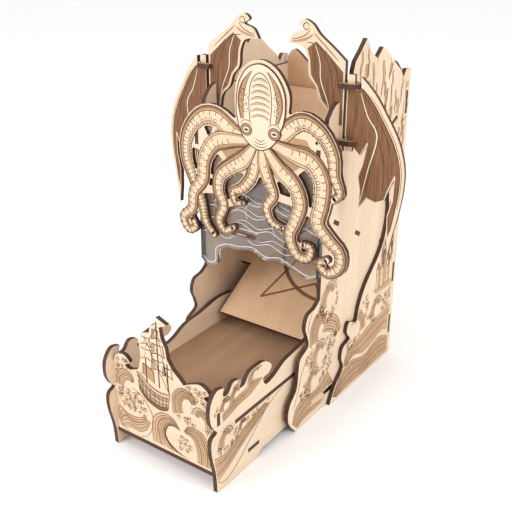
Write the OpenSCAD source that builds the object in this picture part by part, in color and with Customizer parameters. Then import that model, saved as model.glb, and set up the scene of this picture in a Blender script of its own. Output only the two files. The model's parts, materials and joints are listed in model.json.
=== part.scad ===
// Slot-together plywood dice tower with a sliding catch tray, swinging wings and an octopus front.
// Millimetres. X runs across the tower, Y runs from the tray's front to the tower's back, Z is up.

/* [Sheet] */
// Thickness of the plywood sheet
ply = 3; // [2.8:0.1:3.2]
// Thickness of the clear acrylic screen
acrylic = 3; // [2.6:0.1:3]
// Gap left round every sliding edge
slide_gap = 0.4; // [0.3:0.1:0.6]

/* [Tower] */
// Outside width over the two tower walls
tower_w = 96; // [94:1:98]
// Height of the two tower walls
wall_h = 214; // [210:1:216]
// Distance from the tray's front lobes to the tower's rear face
overall_d = 212; // [210:1:216]
// Distance from the tray's front lobes to the octopus plate
facade_y = 102; // [101:1:103]

/* [Tray] */
// Outside width over the tray's two sides
tray_w = 85; // [83:0.5:86]
// Distance from the tray's front lobes to its open rear end
tray_d = 128; // [126:1:129]
// Height of the underside of the floor that the dice land on
deck_z = 39; // [38.5:0.5:39.5]
// Height of the underside of the base plate that guides the tray
base_z = 9.5; // [9:0.5:10]
// How far the tray slides into the tower
tray_travel = 75; // [60:1:75]

/* [Ramps] */
// Height of the exit ramp's front lip
lip_z = 53; // [52:1:55]
// Slope of the exit ramp
ramp_slope = 32; // [30:1:33]
// Slope of the two baffles
baffle_slope = 30; // [28:1:31]

/* [Wings] */
// Distance from the tray's front lobes to the wings' mid plane
wing_y = 123.5; // [122:0.5:125]
// Sideways distance from the centre to each hinge axis
hinge_x = 55; // [54.6:0.1:55.4]
// How far the outer wings are swung back as the tower stands
wing_sweep = 8; // [0:1:20]
// Radius of the round hole that each wing peg turns in
peg_hole_r = 2.7; // [2.7:0.05:2.9]

/* [Hidden] */

mid_y = overall_d / 2;
wall_x = tower_w / 2;
wall_in = wall_x - ply;
cliff_x = wall_x + ply;
tray_x = tray_w / 2;
tray_in = tray_x - ply;
// The walls' front edges butt against the screen, which butts against the octopus plate
screen_y = facade_y + ply;
wall_front = screen_y + acrylic;
back_y = overall_d - 5;

// Exit ramp: its upper face starts at the lip and rises to the back panel
lip_y = 109;
ramp_half = 35.5;
ramp_notch = 45;
ramp_len = (back_y - lip_y) / cos(ramp_slope);
ramp_tab = [92, 106];

// Lower baffle falls toward the back, upper baffle falls toward the front
lower_y = wall_front + 0.5;
lower_z = 147;
lower_len = 62;
lower_tabs = [[15.5, 23.5], [49.5, 57.5]];
upper_z = 199;
upper_len = 60;
upper_tab = [14, 30];

// Tray floor: long tabs fill the slots in the tray's sides, and its end runs a little past them
deck_tab_y = 23;
deck_end = tray_d + 2;

// Slit in each wall that the ears of the tray's base plate run in
ear_y = [102.5, 120];
ear_slit = [102, ear_y[1] + tray_travel + 1.5];

tenon_z = [177, 189];
wing_lap_z = [184, 199];
tray_front_y = 6;
tray_panel_z = [47, 56];
base_tabs = [[36, 48], [80, 92]];
back_tabs = [[18, 34], [62, 78], [128, 144], [190, 206]];

upper_plate_z = 223;
lower_plate_z = 189;
wing_half = 2.2;
inner_wing_x = 50.8;

// A point on the smooth curve that passes through b and c
function blend(a, b, c, d, t) =
  0.5 * (2 * b + (c - a) * t + (2 * a - 5 * b + 4 * c - d) * t * t + (3 * b - a - 3 * c + d) * t * t * t);

// Smooth open run through hand-placed points
function smooth(p, steps = 4) = [
  for (i = [0:len(p) - 2], s = [0:steps - 1])
    blend(p[max(i - 1, 0)], p[i], p[i + 1], p[min(i + 2, len(p) - 1)], s / steps),
  p[len(p) - 1]
];

// The same points reflected across the vertical axis and reversed
function reflected(p) = [for (i = [len(p) - 1:-1:0]) [-p[i][0], p[i][1]]];

// Moves a piece so that the origin lies under the middle of the object
module placed() {
  translate([0, -mid_y, 0]) children();
}

// Joins everything drawn for one sheet into a single outline
module one_outline() {
  offset(delta = 0) union() children();
}

// Extrudes a side view, drawn as depth and height, into a sheet whose inner face is at x
module side_sheet(x, thick = ply) {
  translate([x, 0, 0]) rotate([90, 0, 90]) linear_extrude(thick) one_outline() children();
}

// Extrudes a front view, drawn as width and height, into a sheet whose front face is at y
module front_sheet(y, thick = ply) {
  translate([0, y + thick, 0]) rotate([90, 0, 0]) linear_extrude(thick) one_outline() children();
}

// Extrudes a top view into a sheet whose underside is at z
module flat_sheet(z, thick = ply) {
  translate([0, 0, z]) linear_extrude(thick) children();
}

// Rectangle given by its two spans
module span(a, b) {
  translate([a[0], b[0]]) square([a[1] - a[0], b[1] - b[0]]);
}

// Draws a right-hand piece, or its mirror image on the left
module sided(side) {
  if (side > 0) children();
  else mirror([1, 0, 0]) children();
}

// A tapering arm: round at every point of its path, with straight flanks between
module arm(path, root, tip) {
  p = smooth(path, 3);
  last = len(p) - 1;
  for (i = [0:last]) {
    r = root + (tip - root) * i / last;
    translate(p[i]) circle(r = r, $fn = 12);
    if (i < last) {
      q = root + (tip - root) * (i + 1) / last;
      u = (p[i + 1] - p[i]) / norm(p[i + 1] - p[i]);
      n = [-u[1], u[0]];
      polygon([p[i] + n * r, p[i + 1] + n * q, p[i + 1] - n * q, p[i] - n * r]);
    }
  }
}

// Side view of a tower wall, with rounded wave lobes down its front edge
module wall_outline() {
  lobes = smooth([
    [82, 0], [73, 12], [74, 24], [82, 33], [84, 46], [86, 54], [95, 59], [94, 66],
    [91, 74], [94, 82], [102, 84], [wall_front, 88]
  ]);
  polygon(concat(lobes, [[wall_front, 196]], smooth([[wall_front + 3, 206], [wall_front + 14, wall_h],
    [150, wall_h - 3], [182, wall_h]]), [[overall_d, wall_h], [overall_d, 0]]));
  span([facade_y, wall_front + 1], tenon_z);
}

// A sheet seen edge on, rising at an angle from its lower front corner of the upper face
module slanted(y, z, angle, length_span) {
  translate([y, z]) rotate(angle) span(length_span, [-ply, 0]);
}

// Mortises that the back panel's tabs pass through
module back_mortises() {
  for (t = back_tabs) span([back_y, back_y + ply], t);
}

module wall(side) {
  color("burlywood")
  placed()
  sided(side)
  side_sheet(wall_in)
  difference() {
    wall_outline();
    back_mortises();
    slanted(lip_y, lip_z, ramp_slope, ramp_tab);
    for (t = lower_tabs) slanted(lower_y, lower_z, -baffle_slope, t);
    slanted(back_y, upper_z, baffle_slope, [-upper_tab[1], -upper_tab[0]]);
    span(ear_slit, [base_z - slide_gap, base_z + ply + slide_gap]);
    span([wing_y - ply / 2, wing_y + ply / 2], [wing_lap_z[1], wall_h + 1]);
  }
}

// Side view of a cliff panel, rising to two rock spires
module cliff_outline() {
  foot = smooth([
    [121, 0], [128, 12], [138, 22], [135, 31], [137, 39], [146, 42], [141, 49], [144, 56],
    [154, 52], [157, 62], [163, 73], [171, 82], [182, 92], [189, 102], [193, 114]
  ]);
  face = smooth([[194, 124], [191, 140], [182, 157], [169, 174], [156, 191], [142, 206], [133, 219], [132, 231]]);
  spires = [[134, 236], [141, 242], [147, 248], [153, 239], [162, 234], [169, 240], [175, 237], [184, 230]];
  polygon(concat(foot, face, spires, [[197, 221], [201, 216], [205, 221], [overall_d, 220], [overall_d, 0]]));
}

module cliff_panel(side) {
  color("wheat")
  placed()
  sided(side)
  side_sheet(wall_x)
  difference() {
    cliff_outline();
    back_mortises();
    slanted(back_y, upper_z, baffle_slope, [-upper_tab[1], -upper_tab[0]]);
  }
}

// Back panel, with a dipped top edge that helps the dice in
module back_panel() {
  rim = smooth([[0, 203], [12, 205], [24, 213], [36, 223], [41, 224], [wall_in, 219]]);
  color("burlywood")
  placed()
  front_sheet(back_y) {
    polygon(concat(reflected(rim), rim, [[wall_in, 0], [-wall_in, 0]]));
    for (t = back_tabs) span([-cliff_x, cliff_x], t);
  }
}

// Draws a sheet in its own plane, then tips it up to its slope with its upper face at the given line
module sloped_sheet(y, z, angle) {
  translate([0, y, z]) rotate([angle, 0, 0]) translate([0, 0, -ply]) linear_extrude(ply) children();
}

// Ramp that the dice leave by: narrow enough at its lip to fit between the tray's sides
module exit_ramp() {
  bevel = ply * tan(ramp_slope);
  color("tan")
  placed()
  sloped_sheet(lip_y, lip_z, ramp_slope) {
    span([-ramp_half, ramp_half], [0, ramp_len - bevel]);
    span([-wall_in, wall_in], [ramp_notch, ramp_len - bevel]);
    span([-wall_x, wall_x], ramp_tab);
  }
}

module lower_baffle() {
  color("tan")
  placed()
  sloped_sheet(lower_y, lower_z, -baffle_slope) {
    span([-wall_in, wall_in], [ply * tan(baffle_slope), lower_len]);
    for (t = lower_tabs) span([-wall_x, wall_x], t);
  }
}

module upper_baffle() {
  color("tan")
  placed()
  sloped_sheet(back_y, upper_z, baffle_slope) {
    span([-wall_in, wall_in], [-upper_len, -ply * tan(baffle_slope)]);
    span([-cliff_x, cliff_x], [-upper_tab[1], -upper_tab[0]]);
  }
}

// The octopus's round mantle and the web that its arms grow from
module octopus_head() {
  mantle = smooth([
    [-14, 198], [-15, 210], [-13, 224], [-5, 234], [6, 237], [17, 232], [25, 220], [25, 208], [22, 198],
    [40, 196], [46, 186], [34, 172], [20, 164], [4, 166], [-8, 164], [-22, 168], [-34, 180], [-30, 194], [-14, 198]
  ]);
  polygon(mantle);
}

// Eight arms: path points, radius at the root and radius at the tip
octopus_arms = [
  [[[-16, 190], [-30, 198], [-43, 196], [-54, 183], [-56, 167], [-50, 151], [-44, 137], [-41, 124], [-34, 116]], 8, 2.6],
  [[[-20, 184], [-32, 180], [-40, 168], [-42, 154], [-50, 143], [-52, 131], [-60, 123], [-56, 115], [-50, 118],
    [-53, 124]], 7, 2.4],
  [[[-8, 174], [-17, 168], [-27, 160], [-29, 149], [-25, 139], [-29, 128], [-24, 121], [-17, 125]], 7, 2.4],
  [[[0, 172], [-3, 162], [-10, 154], [-17, 150], [-15, 143], [-9, 144]], 6, 2],
  [[[8, 172], [12, 162], [15, 154], [10, 145], [14, 136], [22, 134]], 6, 2.2],
  [[[20, 172], [30, 164], [35, 153], [32, 141], [28, 130], [33, 119], [41, 118], [43, 125], [37, 126]], 7, 2.4],
  [[[28, 184], [42, 181], [50, 170], [50, 156], [48, 143], [56, 134], [64, 127], [64, 117], [56, 111], [50, 116],
    [55, 120]], 8, 2.6],
  [[[20, 194], [34, 204], [47, 200], [56, 188], [58, 175], [62, 165], [58, 160]], 7, 2.6]
];

// Short bridges that stiffen the plate where arms cross
octopus_bridges = [
  [[[-29, 149], [-46, 146]], 2.6, 2.6],
  [[[-25, 139], [-15, 144]], 2.4, 2.4],
  [[[15, 154], [34, 152]], 2.6, 2.6],
  [[[34, 148], [50, 150]], 2.8, 2.8]
];

module octopus_outline() {
  octopus_head();
  for (a = octopus_arms) arm(a[0], a[1], a[2]);
  for (b = octopus_bridges) arm(b[0], b[1], b[2]);
  for (s = [-1, 1]) translate([s * (wall_x - ply / 2), (tenon_z[0] + tenon_z[1]) / 2]) circle(r = 9, $fn = 40);
}

// Holes for the tenons on the walls' front edges
module tenon_holes() {
  for (s = [-1, 1]) span([s * wall_x - (s + 1) / 2 * ply, s * wall_x - (s - 1) / 2 * ply], tenon_z);
}

module octopus_facade() {
  color("wheat")
  placed()
  front_sheet(facade_y)
  difference() {
    offset(r = -1) offset(delta = 1) octopus_outline();
    tenon_holes();
  }
}

// Clear screen behind the octopus, cut as a bank of cloud above the mouth
module storm_screen() {
  hem = smooth([
    [-wall_x, 94], [-42, 90], [-34, 93], [-33, 103], [-26, 107], [-15, 108], [-4, 110], [6, 106],
    [18, 108], [30, 104], [40, 101], [wall_x, 104]
  ]);
  color("whitesmoke", 0.5)
  placed()
  front_sheet(screen_y, acrylic)
  difference() {
    polygon(concat(hem, [[wall_x, 192]], smooth([[30, 194], [12, 190], [-10, 190], [-30, 194]]), [[-wall_x, 192]]));
    tenon_holes();
    for (slot = [[-29, -1], [30, 42]]) offset(r = 1.6) span([slot[0] + 1.6, slot[1] - 1.6], [120, 120.4]);
  }
}

// Fixed part of a wing: a hooked claw on top, a stretched skin below
module inner_wing(side) {
  claw = smooth([[11, 245], [15, 251], [22, 253.5], [18, 256.5], [22, 259.5], [28, 257], [33, 251.5], [42, 245], [inner_wing_x, 238]]);
  trailing = smooth([[wall_in - 1, 184], [42, 197], [40, 207], [34, 213], [31, 221], [26, 227], [25, 237], [21, 244], [11, 245]]);
  color("tan")
  placed()
  sided(side)
  front_sheet(wing_y - ply / 2)
  difference() {
    polygon(concat(claw, [[inner_wing_x, 184]], trailing));
    span([wall_in, wall_x], [183, wing_lap_z[1]]);
  }
}

// Flat link, forked over the fixed wing's edge, with a round hole for the moving wing's peg
module hinge_plate(side, z) {
  color("sienna")
  placed()
  sided(side)
  difference() {
    flat_sheet(z) {
      translate([hinge_x, wing_y]) circle(r = 5.4, $fn = 60);
      span([wall_x + 0.3, hinge_x], [wing_y - 5.4, wing_y + 5.4]);
    }
    translate([hinge_x, wing_y, z - 1]) cylinder(h = ply + 2, r = peg_hole_r, $fn = 48);
    flat_sheet(z) span([wall_x, inner_wing_x], [wing_y - ply / 2, wing_y + ply / 2]);
  }
}

// Moving part of a wing, in its own plane with the hinge axis at zero
module outer_wing_outline() {
  clear_u = 6.3;
  gap = 0.3;
  low = lower_plate_z + ply + gap;
  high = upper_plate_z - gap;
  leading = smooth([[clear_u, 230], [15, 221], [23, 209], [31, 195], [35.5, 180], [36, 166], [34, 150], [31, 135], [29, 122]]);
  tears = [[27.5, 134], [27, 148], [29.5, 158], [30, 172], [26, 162], [24.5, 157], [19, 155], [13, 157], [8.5, 150],
    [8.5, 162], [7, 170], [9.5, 178], [11.5, 190], [7.2, 183]];
  polygon(concat(leading, tears, [[clear_u, low], [-wing_half, low], [-wing_half, high], [clear_u, high]]));
  span([-wing_half, wing_half], [lower_plate_z - 4, upper_plate_z + ply + 5]);
}

module outer_wing(side) {
  color("peru")
  placed()
  sided(side)
  translate([hinge_x, wing_y, 0])
  rotate([0, 0, wing_sweep])
  front_sheet(-ply / 2)
  outer_wing_outline();
}

// Side view of a tray side: rolling wave crests over a straight foot
module tray_side_outline() {
  lobes = smooth([[5, 0], [4, 14], [0.6, 30], [1, 40], [6, 43], [3, 47], [0, 54], [0.4, 64], [6, 71], [13, 70]]);
  crests = smooth([[13, 70], [12, 65], [17, 64], [22, 69], [29, 67], [28, 62], [33, 62], [38, 67], [45, 68], [54, 67],
    [61, 61], [58, 57], [52, 56], [55, 50], [64, 51], [76, 56], [94, 58], [112, 61], [tray_d, 60]]);
  polygon(concat(lobes, crests, [[tray_d, 4], [51, 4]], smooth([[51, 4], [48, 1.5], [44, 0]])));
}

module tray_side(side) {
  color("wheat")
  placed()
  sided(side)
  side_sheet(tray_in)
  difference() {
    tray_side_outline();
    span([deck_tab_y, tray_d + 1], [deck_z, deck_z + ply]);
    span([tray_front_y, tray_front_y + ply], tray_panel_z);
    for (t = base_tabs) span(t, [base_z, base_z + ply]);
    span(ear_y, [base_z, base_z + ply]);
  }
}

// Floor that the dice land on, held by long tabs in the tray's sides
module tray_floor() {
  color("sienna")
  placed()
  flat_sheet(deck_z) {
    span([-tray_in, tray_in], [tray_front_y + ply, deck_end]);
    span([-tray_x, tray_x], [deck_tab_y, tray_d]);
  }
}

// Base plate low in the tray, with two pairs of tabs and a pair of longer ears that run in the walls' slits
module tray_base() {
  color("sienna")
  placed()
  flat_sheet(base_z) {
    span([-tray_in, tray_in], [tray_front_y, tray_d]);
    for (t = base_tabs) span([-tray_x, tray_x], t);
    span([-(wall_x - slide_gap), wall_x - slide_gap], ear_y);
  }
}

// Front of the tray: a sailing ship between two wave crests
module tray_front_panel() {
  left_wave = smooth([[-tray_in, 62], [-36, 68], [-30, 70], [-25, 66], [-29, 63], [-25, 61], [-18, 64]]);
  ship = [[-17, 66], [-15, 74], [-16, 84], [-13, 91], [-7, 93], [-6, 98], [-2, 100], [-1, 105], [7, 102], [1, 99],
    [2, 92], [5, 86], [6, 79], [10, 73], [15, 69]];
  right_wave = smooth([[18, 66], [24, 69], [31, 71], [37, 67], [33, 63], [tray_in, 60]]);
  color("wheat")
  placed()
  front_sheet(tray_front_y) {
    polygon(concat(left_wave, ship, right_wave, [[tray_in, base_z + ply], [-tray_in, base_z + ply]]));
    span([-tray_x, tray_x], tray_panel_z);
  }
}

wall(-1);  // wall_left
wall(1);  // wall_right
cliff_panel(-1);  // cliff_panel_left
cliff_panel(1);  // cliff_panel_right
back_panel();
exit_ramp();
lower_baffle();
upper_baffle();
octopus_facade();
storm_screen();
inner_wing(-1);  // inner_wing_left
inner_wing(1);  // inner_wing_right
hinge_plate(-1, upper_plate_z);  // upper_hinge_plate_left
hinge_plate(1, upper_plate_z);  // upper_hinge_plate_right
hinge_plate(-1, lower_plate_z);  // lower_hinge_plate_left
hinge_plate(1, lower_plate_z);  // lower_hinge_plate_right
outer_wing(-1);  // outer_wing_left
outer_wing(1);  // outer_wing_right
tray_floor();
tray_base();
tray_front_panel();
tray_side(-1);  // tray_side_left
tray_side(1);  // tray_side_right
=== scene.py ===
"""Dice tower of laser-cut plywood: materials, laser engraving, clear screen, light and camera."""
import json
import math
import random

import bmesh
import bpy
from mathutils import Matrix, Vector
from mathutils.bvhtree import BVHTree
from mathutils.geometry import tessellate_polygon

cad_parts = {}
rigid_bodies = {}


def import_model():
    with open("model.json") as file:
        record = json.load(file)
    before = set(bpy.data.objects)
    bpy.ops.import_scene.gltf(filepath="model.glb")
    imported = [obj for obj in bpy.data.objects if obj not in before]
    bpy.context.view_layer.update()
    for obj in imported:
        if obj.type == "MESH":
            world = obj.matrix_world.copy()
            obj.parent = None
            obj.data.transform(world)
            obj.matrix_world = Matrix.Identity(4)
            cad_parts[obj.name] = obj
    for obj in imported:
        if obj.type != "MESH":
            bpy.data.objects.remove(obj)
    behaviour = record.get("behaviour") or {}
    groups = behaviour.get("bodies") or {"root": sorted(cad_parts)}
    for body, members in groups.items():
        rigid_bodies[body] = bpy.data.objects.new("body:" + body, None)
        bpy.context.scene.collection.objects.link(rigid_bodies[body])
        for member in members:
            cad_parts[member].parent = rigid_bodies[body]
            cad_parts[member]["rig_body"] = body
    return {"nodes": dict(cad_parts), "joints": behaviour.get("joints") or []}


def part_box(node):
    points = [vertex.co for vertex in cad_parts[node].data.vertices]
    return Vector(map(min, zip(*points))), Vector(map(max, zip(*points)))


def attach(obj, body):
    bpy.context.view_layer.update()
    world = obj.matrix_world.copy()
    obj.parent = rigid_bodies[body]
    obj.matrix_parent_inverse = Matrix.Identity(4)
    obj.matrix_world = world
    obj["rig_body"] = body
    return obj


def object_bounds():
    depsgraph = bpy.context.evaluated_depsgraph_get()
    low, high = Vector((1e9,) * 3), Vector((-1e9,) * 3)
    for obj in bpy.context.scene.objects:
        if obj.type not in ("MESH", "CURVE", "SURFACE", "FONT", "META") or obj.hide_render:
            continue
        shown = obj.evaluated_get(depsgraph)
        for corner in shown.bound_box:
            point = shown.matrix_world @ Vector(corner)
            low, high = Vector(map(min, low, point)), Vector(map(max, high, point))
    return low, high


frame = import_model()
cad_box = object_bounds()

MM = 0.001
PLY = 3.0  # sheet thickness, mm
FRONT = cad_box[0].y / MM  # the tray's front lobes: side drawings measure depth from here
RAMP_SLOPE = math.radians(32)
BAFFLE_SLOPE = math.radians(30)
WING_SWEEP = math.radians(8)
SIDES = ("left", "right")


# -------- materials

WHITE = (1, 1, 1)
FACE_COSINE = 0.92  # a facet this square to a sheet's normal is its face, not its cut edge


def new_material(name):
    """A new node material, with its node tree and its Principled shader."""
    mat = bpy.data.materials.new(name)
    mat.use_nodes = True
    return mat, mat.node_tree, mat.node_tree.nodes["Principled BSDF"]


def noise(tree, vector, scale, detail=3.0, roughness=0.55):
    """Noise over a vector, as a factor."""
    tex = tree.nodes.new("ShaderNodeTexNoise")
    tex.inputs["Scale"].default_value = scale
    tex.inputs["Detail"].default_value = detail
    tex.inputs["Roughness"].default_value = roughness
    tree.links.new(vector, tex.inputs["Vector"])
    return tex.outputs["Fac"]


def object_place(tree):
    """Object coordinates, in metres."""
    return tree.nodes.new("ShaderNodeTexCoord").outputs["Object"]


def stretched(tree, source, scale):
    """Object coordinates scaled differently along each axis, which draws noise out into fibres."""
    mapping = tree.nodes.new("ShaderNodeMapping")
    mapping.inputs["Scale"].default_value = scale
    tree.links.new(source, mapping.inputs["Vector"])
    return mapping.outputs["Vector"]


def ramp(tree, fac, stops):
    """Colour ramp over a factor."""
    node = tree.nodes.new("ShaderNodeValToRGB")
    while len(node.color_ramp.elements) < len(stops):
        node.color_ramp.elements.new(0.5)
    for element, (place, colour) in zip(node.color_ramp.elements, stops):
        element.position = place
        element.color = (*colour, 1)
    tree.links.new(fac, node.inputs["Fac"])
    return node.outputs["Color"]


def feed(tree, value, socket):
    """Links another socket to this one, or sets a plain number or colour on it."""
    if isinstance(value, bpy.types.NodeSocket):
        tree.links.new(value, socket)
    else:
        socket.default_value = (*value, 1) if isinstance(value, tuple) else value


def mixed(tree, kind, fac, a, b):
    """Colour mix whose inputs are sockets or plain values."""
    node = tree.nodes.new("ShaderNodeMix")
    node.data_type = "RGBA"
    node.blend_type = kind
    for name, value in (("Factor", fac), ("A", a), ("B", b)):
        feed(tree, value, node.inputs[name])
    return node.outputs["Result"]


def maths(tree, operation, a, b=0.0):
    node = tree.nodes.new("ShaderNodeMath")
    node.operation = operation
    feed(tree, a, node.inputs[0])
    feed(tree, b, node.inputs[1])
    return node.outputs[0]


def bumped(tree, shader, height, strength, distance):
    """Surface relief that follows a height socket."""
    bump = tree.nodes.new("ShaderNodeBump")
    bump.inputs["Strength"].default_value = strength
    bump.inputs["Distance"].default_value = distance
    tree.links.new(height, bump.inputs["Height"])
    tree.links.new(bump.outputs["Normal"], shader.inputs["Normal"])


def varied_roughness(tree, shader, source, low, high):
    """Roughness that follows a factor between two values."""
    span = tree.nodes.new("ShaderNodeMapRange")
    span.inputs["To Min"].default_value = low
    span.inputs["To Max"].default_value = high
    tree.links.new(source, span.inputs["Value"])
    tree.links.new(span.outputs["Result"], shader.inputs["Roughness"])


def fibre_scale(grain, along, across):
    """Noise scale for wood whose grain runs along the named axis."""
    return tuple(along if axis == grain else across for axis in "xyz")


def birch_face(tree, place, fibres, grain, pale, deep):
    """Colour of a birch face: broad bands between two tones, fine fibres and a faint blush."""
    bands = noise(tree, stretched(tree, place, fibre_scale(grain, 6, 90)), 1.0, 3, 0.5)
    blush = noise(tree, place, 18.0, 2)
    face = ramp(tree, bands, [(0.3, pale), (0.7, deep)])
    face = mixed(tree, "MULTIPLY", 0.55, face,
                 ramp(tree, fibres, [(0.3, (0.8, 0.74, 0.66)), (0.62, WHITE)]))
    return mixed(tree, "MULTIPLY", 0.35, face,
                 ramp(tree, blush, [(0.35, (0.92, 0.84, 0.76)), (0.65, WHITE)]))


def burnt_edge(tree, place):
    """Colour of a laser-cut edge: charred, with lighter streaks."""
    streaks = noise(tree, stretched(tree, place, (900, 900, 260)), 1.0, 3, 0.65)
    return ramp(tree, streaks, [(0.25, (0.03, 0.013, 0.009)), (0.55, (0.075, 0.036, 0.024)),
                                (0.8, (0.17, 0.09, 0.055))])


def on_either_face(tree, coord, normal):
    """1 on the two faces of a sheet with this normal, and 0 on its cut edges."""
    facing = tree.nodes.new("ShaderNodeVectorMath")
    facing.operation = "DOT_PRODUCT"
    facing.inputs[1].default_value = normal
    tree.links.new(coord.outputs["Normal"], facing.inputs[0])
    squareness = maths(tree, "ABSOLUTE", facing.outputs["Value"])
    return maths(tree, "GREATER_THAN", squareness, FACE_COSINE)


def plywood(name, normal, grain, pale, deep):
    """Birch sheet: fine-grained faces across the given normal, and laser-burnt edges all round."""
    mat, tree, shader = new_material(name)
    coord = tree.nodes.new("ShaderNodeTexCoord")
    place = coord.outputs["Object"]
    fibres = noise(tree, stretched(tree, place, fibre_scale(grain, 45, 1500)), 1.0, 4, 0.6)
    face = birch_face(tree, place, fibres, grain, pale, deep)
    is_face = on_either_face(tree, coord, normal)
    colour = mixed(tree, "MIX", is_face, burnt_edge(tree, place), face)
    tree.links.new(colour, shader.inputs["Base Color"])
    varied_roughness(tree, shader, fibres, 0.55, 0.75)
    shader.inputs["Specular IOR Level"].default_value = 0.3
    bumped(tree, shader, fibres, 0.25, 0.0001)
    return mat


def burn(name, light, dark, scale=700.0, rough=0.8):
    """Laser engraving: charred wood whose tone wanders between two browns."""
    mat, tree, shader = new_material(name)
    place = object_place(tree)
    mottle = noise(tree, place, scale, 4, 0.65)
    tone = noise(tree, place, 60.0, 2)
    both = maths(tree, "ADD", maths(tree, "MULTIPLY", mottle, 0.6), maths(tree, "MULTIPLY", tone, 0.4))
    tree.links.new(ramp(tree, both, [(0.38, dark), (0.62, light)]), shader.inputs["Base Color"])
    shader.inputs["Roughness"].default_value = rough
    shader.inputs["Specular IOR Level"].default_value = 0.15
    bumped(tree, shader, mottle, 0.3, 0.00005)
    return mat


def membrane_wood(name):
    """Solid raster engraving of the wing skins: brown, with fine scan lines and darker grain."""
    mat, tree, shader = new_material(name)
    place = object_place(tree)
    grain = noise(tree, stretched(tree, place, (1300, 1300, 70)), 1.0, 4, 0.6)
    scan = tree.nodes.new("ShaderNodeTexWave")
    scan.bands_direction = "Z"
    scan.inputs["Scale"].default_value = 420.0
    scan.inputs["Distortion"].default_value = 0.6
    tree.links.new(place, scan.inputs["Vector"])
    base = ramp(tree, grain, [(0.3, (0.15, 0.068, 0.034)), (0.7, (0.3, 0.155, 0.083))])
    lines = ramp(tree, scan.outputs["Fac"], [(0.2, (0.78, 0.76, 0.74)), (0.7, WHITE)])
    tree.links.new(mixed(tree, "MULTIPLY", 0.5, base, lines), shader.inputs["Base Color"])
    shader.inputs["Roughness"].default_value = 0.82
    shader.inputs["Specular IOR Level"].default_value = 0.15
    bumped(tree, shader, grain, 0.3, 0.0001)
    return mat


def clear_acrylic(name):
    """Clear sheet with faint smudges."""
    mat, tree, shader = new_material(name)
    smudge = noise(tree, object_place(tree), 40.0, 3)
    varied_roughness(tree, shader, smudge, 0.01, 0.05)
    shader.inputs["Base Color"].default_value = (0.93, 0.95, 0.96, 1)
    shader.inputs["Transmission Weight"].default_value = 0.95
    shader.inputs["IOR"].default_value = 1.45
    return mat


def frosted(name):
    """Engraving in the acrylic: bright, rough and partly see-through."""
    mat, tree, shader = new_material(name)
    speck = noise(tree, object_place(tree), 1500.0, 2)
    tone = ramp(tree, speck, [(0.3, (0.75, 0.76, 0.78)), (0.7, (0.95, 0.96, 0.97))])
    tree.links.new(tone, shader.inputs["Base Color"])
    shader.inputs["Roughness"].default_value = 0.7
    shader.inputs["Alpha"].default_value = 0.45
    return mat


# Birch tones as (pale, deep): the sheets in the light, a warmer and darker one for the sheets inside the
# tower that is partly their own colour and partly painted shade, and the brown ones.
PALE = ((0.8, 0.645, 0.485), (0.73, 0.57, 0.415))
WARM_AND_SHADED = ((0.73, 0.5, 0.325), (0.64, 0.42, 0.26))
TAN = ((0.43, 0.27, 0.165), (0.35, 0.21, 0.125))

# Tones of the engraving, as (lighter, darker), with the wing skin and the frosted lines.
INK = burn("ink", (0.115, 0.055, 0.032), (0.045, 0.02, 0.012))
TINT = burn("tint", (0.68, 0.5, 0.34), (0.6, 0.425, 0.28), 220.0)
WASH = burn("wash", (0.48, 0.305, 0.175), (0.39, 0.235, 0.13), 350.0)
SHADE = burn("shade", (0.25, 0.125, 0.065), (0.16, 0.075, 0.04), 450.0)
WATER = burn("water", (0.61, 0.395, 0.23), (0.5, 0.305, 0.165), 350.0)
DEPTH = burn("depth", (0.42, 0.235, 0.12), (0.3, 0.155, 0.075), 450.0)
FINE = burn("fine_line", (0.21, 0.11, 0.062), (0.11, 0.052, 0.03))
BONE = burn("bare_wood", (0.8, 0.665, 0.505), (0.73, 0.59, 0.44), 500.0, 0.65)
SKIN = membrane_wood("wing_skin")
FROST = frosted("frosted_line")
HIDE = burn("hide", (0.77, 0.605, 0.42), (0.67, 0.5, 0.325), 500.0, 0.65)


def dress(node, material):
    """Gives a CAD node its one material."""
    slots = frame["nodes"][node].data.materials
    slots.clear()
    slots.append(material)


def dress_nodes():
    """Plywood for every wooden sheet, and acrylic for the screen."""
    across, deep, flat = (1, 0, 0), (0, 1, 0), (0, 0, 1)
    tilt = {"exit_ramp": RAMP_SLOPE, "lower_baffle": -BAFFLE_SLOPE, "upper_baffle": BAFFLE_SLOPE}
    for side in SIDES:
        dress("wall_" + side, plywood("ply_wall_" + side, across, "z", *PALE))
        dress("cliff_panel_" + side, plywood("ply_cliff_" + side, across, "z", *PALE))
        dress("tray_side_" + side, plywood("ply_tray_side_" + side, across, "y", *PALE))
        dress("inner_wing_" + side, plywood("ply_inner_wing_" + side, deep, "z", *PALE))
        sweep = -WING_SWEEP if side == "left" else WING_SWEEP
        normal = (math.sin(sweep), -math.cos(sweep), 0)
        dress("outer_wing_" + side, plywood("ply_outer_wing_" + side, normal, "z", *PALE))
        for level in ("upper", "lower"):
            dress(f"{level}_hinge_plate_{side}", plywood(f"ply_{level}_plate_{side}", flat, "x", *TAN))
    # The back panel inside the tower takes the warmer, darker birch tone, which is partly painted shade.
    dress("back_panel", plywood("ply_back", deep, "z", *WARM_AND_SHADED))
    dress("octopus_facade", plywood("ply_octopus", deep, "z", *PALE))
    dress("tray_front_panel", plywood("ply_tray_front", deep, "x", *PALE))
    dress("tray_floor", plywood("ply_tray_floor", flat, "y", *TAN))
    dress("tray_base", plywood("ply_tray_base", flat, "y", *TAN))
    # The ramp and baffles inside the tower take the same warmer, darker tone, which is partly painted shade.
    for node, angle in tilt.items():
        dress(node, plywood("ply_" + node, (0, -math.sin(angle), math.cos(angle)), "y", *WARM_AND_SHADED))
    dress("storm_screen", clear_acrylic("clear_acrylic"))


# -------- drawing on sheets

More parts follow.
